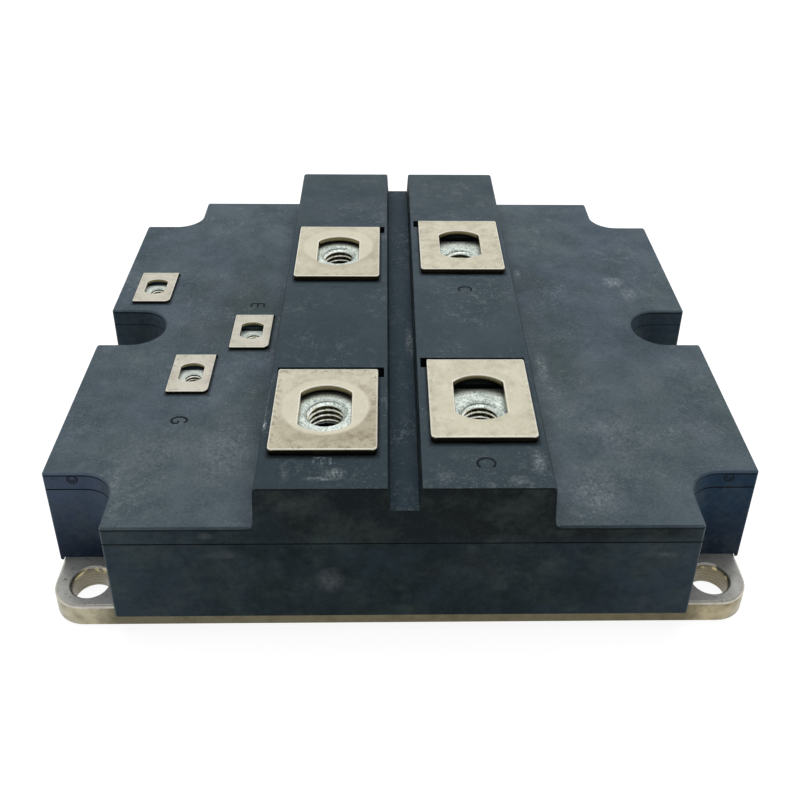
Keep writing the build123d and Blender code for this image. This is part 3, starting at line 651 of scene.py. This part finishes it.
def base_metal():
    """Nickel plated copper base: grey speckled and pitted top, khaki edge, and a thin painted highlight on
    the chamfer between them.
    """
    g = Graph("plated_base")
    top = g.span(g.facing[2], 0.5, 0.9)
    cloud = g.noise(5.0, 4.0, 0.62)
    in_bore = g.largest([g.column(x, y, SCREW_REACH, 0.02) for x, y in SCREW_HOLES])
    speck = g.span(g.noise(0.55, 3.0, 0.6, shift=3.0), 0.60, 0.72)
    pits = g.span(g.noise(0.9, 2.0, 0.5, shift=47.0), 0.66, 0.72)
    color = g.mix(g.span(cloud, 0.36, 0.68), BASE["pale_top"], BASE["dark_top"])
    color = g.mix(g.times(speck, 0.65), color, BASE["speck"])
    color = g.mix(g.times(pits, 0.60), color, BASE["pit"])
    color = g.mix(g.inverse(top), color, base_side(g, cloud, in_bore))
    # Painted highlight on the chamfer, thin and broken up
    rim_highlight = g.times(g.span(g.facing[2], 0.3, 0.5), g.span(g.facing[2], 0.97, 0.9))
    front_or_rear = g.span(g.absolute(g.facing[1]), 0.2, 0.6, 0.2, 1.0)
    rim_highlight = g.times(rim_highlight, front_or_rear, g.span(in_bore, 1.0, 0.0, 0.2, 1.0))
    lower_half = g.span(g.axes[2], BASE_Z - 0.16, BASE_Z - 0.30)
    rim_highlight = g.times(rim_highlight, lower_half, g.span(cloud, 0.35, 0.60, 1.0, 0.5))
    color = g.mix(rim_highlight, color, BASE["rim_highlight"])
    brushed = g.noise(1.0, 1.0, 0.5, vector=g.stretched(0, 30.0, 0.25))
    roughness = g.plus(0.24, g.times(cloud, 0.16), g.times(speck, 0.12))
    height = g.plus(g.times(brushed, 0.6), g.times(g.noise(0.4, 3.0, 0.6), 0.8))
    return g.finish(color, roughness, g.bump(height, 0.16, 0.05), metallic=g.span(top, 0.0, 1.0, 1.0, 0.45))


def mark_color(name, first, second):
    """Lines of the moulded marks, dark or worn almost to the colour of the case."""
    g = Graph(name)
    color = g.mix(g.span(g.noise(0.6, 2.0, 0.5), 0.4, 0.7), first, second)
    return g.finish(color, 0.6, specular=0.1)


def grained(name, first, second, size, roughness, metallic=0.0):
    """Plain material of an inner piece, with a grain of two tones."""
    g = Graph(name)
    blend = g.noise(size, 4.0, 0.6)
    color = g.mix(g.span(blend, 0.36, 0.66), first, second)
    rough = g.plus(roughness, g.times(blend, 0.12))
    return g.finish(color, rough, g.bump(blend, 0.12, 0.05), metallic=metallic)


# Eased edges: width in millimetres and segments
MAIN_TAB_EDGE = (0.32, 3)
SMALL_TAB_EDGE = (0.20, 3)
BASE_EDGE = (0.10, 2)


def wear(node, material):
    """Give a CAD node its one material."""
    mesh = nodes[node].data
    mesh.materials.clear()
    mesh.materials.append(material)


def ease_edges(node, width, segments):
    """Break the sharp edges of a CAD node a little, as plating and moulding do."""
    weld = nodes[node].modifiers.new("weld", "WELD")
    weld.merge_threshold = 0.002 * MM
    flat = nodes[node].modifiers.new("flat", "DECIMATE")
    flat.decimate_type = "DISSOLVE"
    flat.angle_limit = math.radians(0.5)
    bevel = nodes[node].modifiers.new("ease", "BEVEL")
    bevel.width = width * MM
    bevel.segments = segments
    bevel.limit_method = "ANGLE"
    bevel.angle_limit = math.radians(40)
    bevel.harden_normals = False


def dress_terminals():
    """Plating and eased edges of the seven terminals."""
    for node, (tab_shift, ring_shift, stain) in MAIN_TABS.items():
        hole = nut_centre(node.replace("terminal", "nut")) + Vector((0, tab_shift, 0))
        wear(node, tab_metal(node, hole, MAIN_HOLE_REACH, BLOCK_Z, MAIN_TAB_TONES, ring_shift, stain))
        ease_edges(node, *MAIN_TAB_EDGE)
    for node in SMALL_TABS:
        hole = nut_centre(node.replace("terminal", "nut"))
        level = WING_Z - 0.2
        wear(node, tab_metal(node, hole, SMALL_HOLE_REACH, level, SMALL_TAB_TONES, None, SMALL_TAB_STAIN))
        ease_edges(node, *SMALL_TAB_EDGE)


def dress_inside():
    """Plain materials of what the case hides."""
    inner = {
        "ceramic": grained("ceramic", shade(228, 228, 222), shade(214, 214, 206), 1.5, 0.45),
        "copper": grained("copper", shade(196, 132, 98), shade(176, 112, 80), 3.0, 0.32, 1.0),
        "switch_chips": grained("switch_silicon", shade(82, 84, 92), shade(70, 72, 80), 2.0, 0.18),
        "diode_chips": grained("diode_silicon", shade(96, 94, 90), shade(84, 82, 80), 2.0, 0.20),
        "bond_ribbons": grained("bond_metal", shade(220, 220, 222), shade(200, 200, 204), 0.8, 0.25, 1.0),
    }
    for stem, material in inner.items():
        for quarter in QUARTERS:
            wear(f"{stem}_{quarter}", material)
    wear("solder_layers", grained("solder", shade(170, 170, 170), shade(150, 150, 152), 1.2, 0.45, 1.0))
    wear("gate_board", grained("board_green", shade(38, 92, 58), shade(30, 78, 48), 4.0, 0.35))
    wear("gate_pins", grained("pin_plating", shade(206, 200, 176), shade(190, 184, 160), 1.0, 0.3, 1.0))
    wear("insulating_gel", grained("gel", shade(206, 206, 198), shade(196, 197, 190), 9.0, 0.2))


def dress_nodes():
    """Materials of the CAD nodes, and eased edges where the photograph shows bright rims."""
    wear("case_lid", case_plastic("case_plastic_lid", False))
    wear("case_frame", case_plastic("case_plastic_frame", True))
    wear("base_plate", base_metal())
    dress_terminals()
    ease_edges("base_plate", *BASE_EDGE)
    dress_inside()


def add_piece(name, mesh_builder, material):
    """New piece that rides the root body."""
    mesh = bpy.data.meshes.new(name)
    mesh_builder.to_mesh(mesh)
    mesh_builder.free()
    mesh.materials.append(material)
    piece = bpy.data.objects.new(name, mesh)
    bpy.context.scene.collection.objects.link(piece)
    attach(piece, "root")
    return piece


# Threads of the captive nuts: major and minor radius, pitch and mouth radius in millimetres, steps round
MAIN_THREAD = (4.0, 3.325, 1.25, 4.4, 72)
SMALL_THREAD = (2.0, 1.62, 0.7, 2.15, 48)
ROWS_PER_PITCH = 14
# Shares of half a pitch that are flat crest and sloping flank
CREST_SHARE = 0.22
FLANK_SHARE = 0.62
# Share of the depth below which the root is painted dark as shade
SHADED_ROOT_SHARE = 0.46
# Eased edge of the nut's square body, and the ring round its mouth, in millimetres
BODY_EDGE = 0.35
MOUTH_RING = 0.08
# Places of the thread's metals among a nut's materials: the crest metal and the painted shade of the roots
CREST_METAL = 1
ROOT_SHADE_METAL = 2


def thread_groove(turns):
    """Depth share of a thread groove, with flat crests and roots, at a count of turns."""
    slope = abs(turns % 1.0 - 0.5) * 2
    return min(max((slope - CREST_SHARE) / FLANK_SHARE, 0.0), 1.0)


def square_point(angle, half):
    """Point of a square's outline at an angle from its middle."""
    reach = half / max(abs(math.cos(angle)), abs(math.sin(angle)))
    return reach * math.cos(angle), reach * math.sin(angle)


def threaded_nut(node, thread, metals):
    """Square nut with a cut thread and countersunk mouths, in place of the plain solid."""
    major, minor, pitch, mouth, steps = thread
    low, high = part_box(node)
    centre = (low + high) / 2
    half = (high.x - low.x) / 2 / MM
    height = (high.z - low.z) / MM
    angles = [2 * math.pi * i / steps for i in range(steps)]
    sink = mouth - minor
    # Radius beyond which the groove is painted as shade
    root = minor + SHADED_ROOT_SHARE * (major - minor)
    builder = bmesh.new()

    def ring(z, reach):
        made = []
        for angle in angles:
            x, y = reach(angle)
            made.append(builder.verts.new((centre.x + x * MM, centre.y + y * MM, low.z + z * MM)))
        return made

    def circle(radius):
        return lambda angle: (radius * math.cos(angle), radius * math.sin(angle))

    def square(size):
        return lambda angle: square_point(angle, size)

    def wall(z):
        def reach(angle):
            countersink = max(sink - z, z - height + sink, 0.0)
            groove = thread_groove(z / pitch + angle / (2 * math.pi))
            radius = max(minor + (major - minor) * groove, minor + countersink)
            return radius * math.cos(angle), radius * math.sin(angle)
        return reach

    rows = round(height / pitch * ROWS_PER_PITCH)
    rings = [ring(height * i / rows, wall(height * i / rows)) for i in range(rows + 1)]
    rings.append(ring(height, circle(mouth + MOUTH_RING)))
    rings.append(ring(height, square(half - BODY_EDGE)))
    rings.append(ring(height - BODY_EDGE, square(half)))
    rings.append(ring(BODY_EDGE, square(half)))
    rings.append(ring(0, square(half - BODY_EDGE)))
    rings.append(ring(0, circle(mouth + MOUTH_RING)))
    rings.append(rings[0])
    for number, (lower, upper) in enumerate(zip(rings, rings[1:])):
        in_thread = number < rows
        below_mouth = in_thread and sink < height * number / rows < height - sink
        for i in range(steps):
            j = (i + 1) % steps
            face = builder.faces.new((lower[j], lower[i], upper[i], upper[j]))
            face.smooth = in_thread
            if below_mouth:
                depths = [math.hypot(v.co.x - centre.x, v.co.y - centre.y) / MM for v in face.verts]
                # Faces deep in the groove get the painted shade
                face.material_index = ROOT_SHADE_METAL if min(depths) > root else CREST_METAL
    bmesh.ops.recalc_face_normals(builder, faces=builder.faces)
    piece = add_piece(node + "_threaded", builder, metals[0])
    for metal in metals[1:]:
        piece.data.materials.append(metal)
    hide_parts(node)


def add_nuts():
    """Seven captive nuts with cut threads."""
    crest = thread_metal()
    # Painted shade for the thread roots
    root = thread_root_shade_metal()
    large = nut_metal("nut_zinc", 0.65, 0.75)
    small = nut_metal("small_nut_zinc", 0.0, 0.15)
    for node in MAIN_NUTS:
        threaded_nut(node, MAIN_THREAD, (large, crest, root))
    for node in SMALL_NUTS:
        threaded_nut(node, SMALL_THREAD, (small, crest, root))


# Terminal letters moulded on the case: letter, centre in X and Y, level, height, width, and how it shows
LETTERS = (
    ("C", 15.0, -58.5, BLOCK_Z, 3.3, 2.8, "dark"),
    ("C", 15.2, 1.9, BLOCK_Z, 3.0, 2.2, "dark"),
    ("E", -15.2, -57.8, BLOCK_Z, 3.1, 2.2, "pale"),
    ("E", -14.7, 2.2, BLOCK_Z, 3.0, 2.0, "faint"),
    ("E", -34.9, 9.5, WING_Z, 3.1, 1.9, "dark"),
    ("G", -46.3, -34.5, WING_Z, 3.2, 2.2, "dark"),
    ("C", -53.2, 19.0, WING_Z, 3.0, 2.0, "faint"),
)
STROKE = 0.50
RAISE = 0.03
# Arc of a round letter, in degrees
BOW_START = 45
BOW_SWEEP = 270
BOW_STEPS = 24


def letter_strokes(letter):
    """Strokes of a letter in a unit box, right and up."""
    bow = [math.radians(BOW_START + BOW_SWEEP * i / BOW_STEPS) for i in range(BOW_STEPS + 1)]
    curve = [(0.5 * math.cos(a), 0.5 * math.sin(a)) for a in bow]
    if letter == "C":
        return [curve]
    if letter == "G":
        return [curve, [(0.08, -0.04), (0.42, -0.04), (0.42, -0.38)]]
    bars = [[(-0.4, v), (0.42, v)] for v in (-0.5, 0.0, 0.5)]
    return [[(-0.4, -0.5), (-0.4, 0.5)]] + bars


def add_strip(builder, points, width, low, high):
    """Low raised strip of even width along a line of points, all in millimetres."""
    rows = []
    for i, point in enumerate(points):
        before = Vector(points[max(i - 1, 0)])
        after = Vector(points[min(i + 1, len(points) - 1)])
        way = (after - before).normalized()
        side = Vector((-way.y, way.x)) * width / 2
        row = []
        for reach, z in ((1, low), (1, high), (-1, high), (-1, low)):
            place = Vector(point) + side * reach
            row.append(builder.verts.new((place.x * MM, place.y * MM, z * MM)))
        rows.append(row)
    for first, second in zip(rows, rows[1:]):
        for i in range(4):
            j = (i + 1) % 4
            builder.faces.new((first[i], first[j], second[j], second[i]))
    builder.faces.new(rows[0])
    builder.faces.new(reversed(rows[-1]))


def add_letters(marks):
    """Letters read with their tops toward +X, as they are moulded on the case."""
    for index, (letter, x, y, z, height, width, look) in enumerate(LETTERS):
        builder = bmesh.new()
        for stroke in letter_strokes(letter):
            points = [(x + v * height, y - u * width) for u, v in stroke]
            add_strip(builder, points, STROKE, z - RAISE, z + RAISE)
        bmesh.ops.recalc_face_normals(builder, faces=builder.faces)
        add_piece(f"terminal_letter_{index}", builder, marks[look])


# Round moulding marks on the front notch walls: distance from the middle to the side and the front, level
RING_PLACE = (64.2, 50.5, 26.0)
# Arcs of a mark: radius in millimetres, start and end in degrees
RING_ARCS = ((0.92, 0, 360), (0.42, 160, 380))
RING_STROKE = 0.26
RING_STEPS = 32


def add_ring_marks(material):
    """One round mark on the left and one on the right notch wall."""
    x, y, z = RING_PLACE
    upright = Matrix.Rotation(math.radians(90), 4, "X")
    for side, name in ((-1, "left"), (1, "right")):
        builder = bmesh.new()
        for radius, start, end in RING_ARCS:
            points = []
            for i in range(RING_STEPS + 1):
                angle = math.radians(start + (end - start) * i / RING_STEPS)
                points.append((radius * math.cos(angle), radius * math.sin(angle)))
            add_strip(builder, points, RING_STROKE, -RAISE, RAISE)
        stand = Matrix.Translation(Vector((side * x, -y, z)) * MM) @ upright
        bmesh.ops.transform(builder, matrix=stand, verts=builder.verts)
        bmesh.ops.recalc_face_normals(builder, faces=builder.faces)
        add_piece(f"mould_mark_{name}", builder, material)


# Light on the object, and a floor and world that look white but send little light back
WHITE = (1, 1, 1, 1)
WORLD_LIGHT = 0.20
WORLD_FRONT = 0.60
FLOOR_BOUNCE = 0.28
FLOOR_GLOW = 0.90
FLOOR_SHADOW = 0.25
FLOOR_SIZE = 4.0
LAMP_SIZE = 1.0
LAMP_PLACE = (0.0, 0.30, 0.95)
LAMP_POWER = 11.2
GLINT_SIZE = 0.55
GLINT_PLACE = (0.0, -0.10, 1.0)
GLINT_POWER = 1.0


def grey(level):
    return (level, level, level, 1)


def seen_directly(tree):
    """One for camera, glossy and transmission rays."""
    rays = add_node(tree, "LightPath").outputs
    total = rays["Is Camera Ray"]
    for name in ("Is Glossy Ray", "Is Transmission Ray"):
        total = add_node(tree, "Math", {0: total, 1: rays[name]}, operation="MAXIMUM").outputs[0]
    return total


def add_world():
    """White background; reflections see it dimmer toward the front, and little of it lights the object."""
    world = bpy.data.worlds.new("studio")
    bpy.context.scene.world = world
    world.use_nodes = True
    tree = world.node_tree
    tree.nodes.clear()
    direction = add_node(tree, "TexCoord").outputs["Generated"]
    backward = add_node(tree, "SeparateXYZ", {0: direction}).outputs["Y"]
    inputs = {"Value": backward, "From Min": -0.6, "From Max": 0.0, "To Min": WORLD_FRONT}
    dimmed = add_node(tree, "MapRange", inputs).outputs[0]
    camera_ray = add_node(tree, "LightPath").outputs["Is Camera Ray"]
    strength = add_node(tree, "Math", {0: dimmed, 1: camera_ray}, operation="MAXIMUM").outputs[0]
    light = add_node(tree, "Background", {"Color": WHITE, "Strength": WORLD_LIGHT}).outputs[0]
    white = add_node(tree, "Background", {"Color": WHITE, "Strength": strength}).outputs[0]
    mixed = add_node(tree, "MixShader", {0: seen_directly(tree), 1: light, 2: white}).outputs[0]
    add_node(tree, "OutputWorld", {0: mixed})


def add_floor():
    """Floor that glows white to the camera and in reflections, and keeps the object's shadow."""
    builder = bmesh.new()
    bmesh.ops.create_grid(builder, x_segments=1, y_segments=1, size=FLOOR_SIZE / 2)
    mesh = bpy.data.meshes.new("floor")
    builder.to_mesh(mesh)
    builder.free()
    floor = bpy.data.objects.new("floor", mesh)
    bpy.context.scene.collection.objects.link(floor)
    material = bpy.data.materials.new("floor_white")
    material.use_nodes = True
    tree = material.node_tree
    tree.nodes.clear()
    bounce = add_node(tree, "BsdfDiffuse", {"Color": grey(FLOOR_BOUNCE)}).outputs[0]
    paper = add_node(tree, "BsdfDiffuse", {"Color": grey(FLOOR_SHADOW)}).outputs[0]
    glow = add_node(tree, "Emission", {"Color": WHITE, "Strength": FLOOR_GLOW}).outputs[0]
    white = add_node(tree, "AddShader", {0: paper, 1: glow}).outputs[0]
    mixed = add_node(tree, "MixShader", {0: seen_directly(tree), 1: bounce, 2: white}).outputs[0]
    add_node(tree, "OutputMaterial", {0: mixed})
    mesh.materials.append(material)


def add_lamp(name, size, place, power):
    """Square lamp aimed at the middle of the object's foot."""
    lamp = bpy.data.lights.new(name, "AREA")
    lamp.size = size
    lamp.energy = power
    holder = bpy.data.objects.new(name, lamp)
    holder.location = place
    aim = Vector((0, 0, 0)) - Vector(place)
    holder.rotation_euler = aim.to_track_quat("-Z", "Y").to_euler()
    bpy.context.scene.collection.objects.link(holder)
    return holder


def add_camera():
    """Camera whose right, down and forward directions are the rows of one rotation."""
    turn = Matrix.Rotation(math.radians(CAMERA_TILT), 3, "X")
    turn = turn @ Matrix.Rotation(math.radians(CAMERA_LEAN), 3, "Y")
    turn = turn @ Matrix.Rotation(math.radians(CAMERA_TURN), 3, "Z")
    view = turn @ Matrix(((1, 0, 0), (0, 0, -1), (0, 1, 0)))
    pose = Matrix((view[0], -view[1], -view[2])).transposed().to_4x4()
    data = bpy.data.cameras.new("camera")
    data.sensor_width = SENSOR_WIDTH
    data.lens = FOCAL_PIXELS / IMAGE_SIZE * SENSOR_WIDTH
    data.shift_x = (IMAGE_SIZE / 2 - CENTRE_PIXEL[0]) / IMAGE_SIZE
    data.shift_y = (CENTRE_PIXEL[1] - IMAGE_SIZE / 2) / IMAGE_SIZE
    data.clip_start = 0.01
    camera = bpy.data.objects.new("camera", data)
    camera.matrix_world = Matrix.Translation(Vector(CAMERA_PLACE) * MM) @ pose
    bpy.context.scene.collection.objects.link(camera)
    bpy.context.scene.camera = camera


dress_nodes()
add_nuts()
marks = {
    "dark": mark_color("dark_mark", shade(16, 20, 24), shade(30, 36, 40)),
    "faint": mark_color("faint_mark", shade(54, 64, 70), shade(66, 77, 84)),
    "pale": mark_color("pale_mark", shade(52, 62, 70), shade(122, 132, 138)),
}
add_letters(marks)
add_ring_marks(marks["dark"])
add_world()
add_floor()
add_lamp("softbox", LAMP_SIZE, LAMP_PLACE, LAMP_POWER).visible_glossy = False
add_lamp("glint", GLINT_SIZE, GLINT_PLACE, GLINT_POWER).visible_diffuse = False
add_camera()
bpy.context.scene.view_settings.view_transform = "Standard"
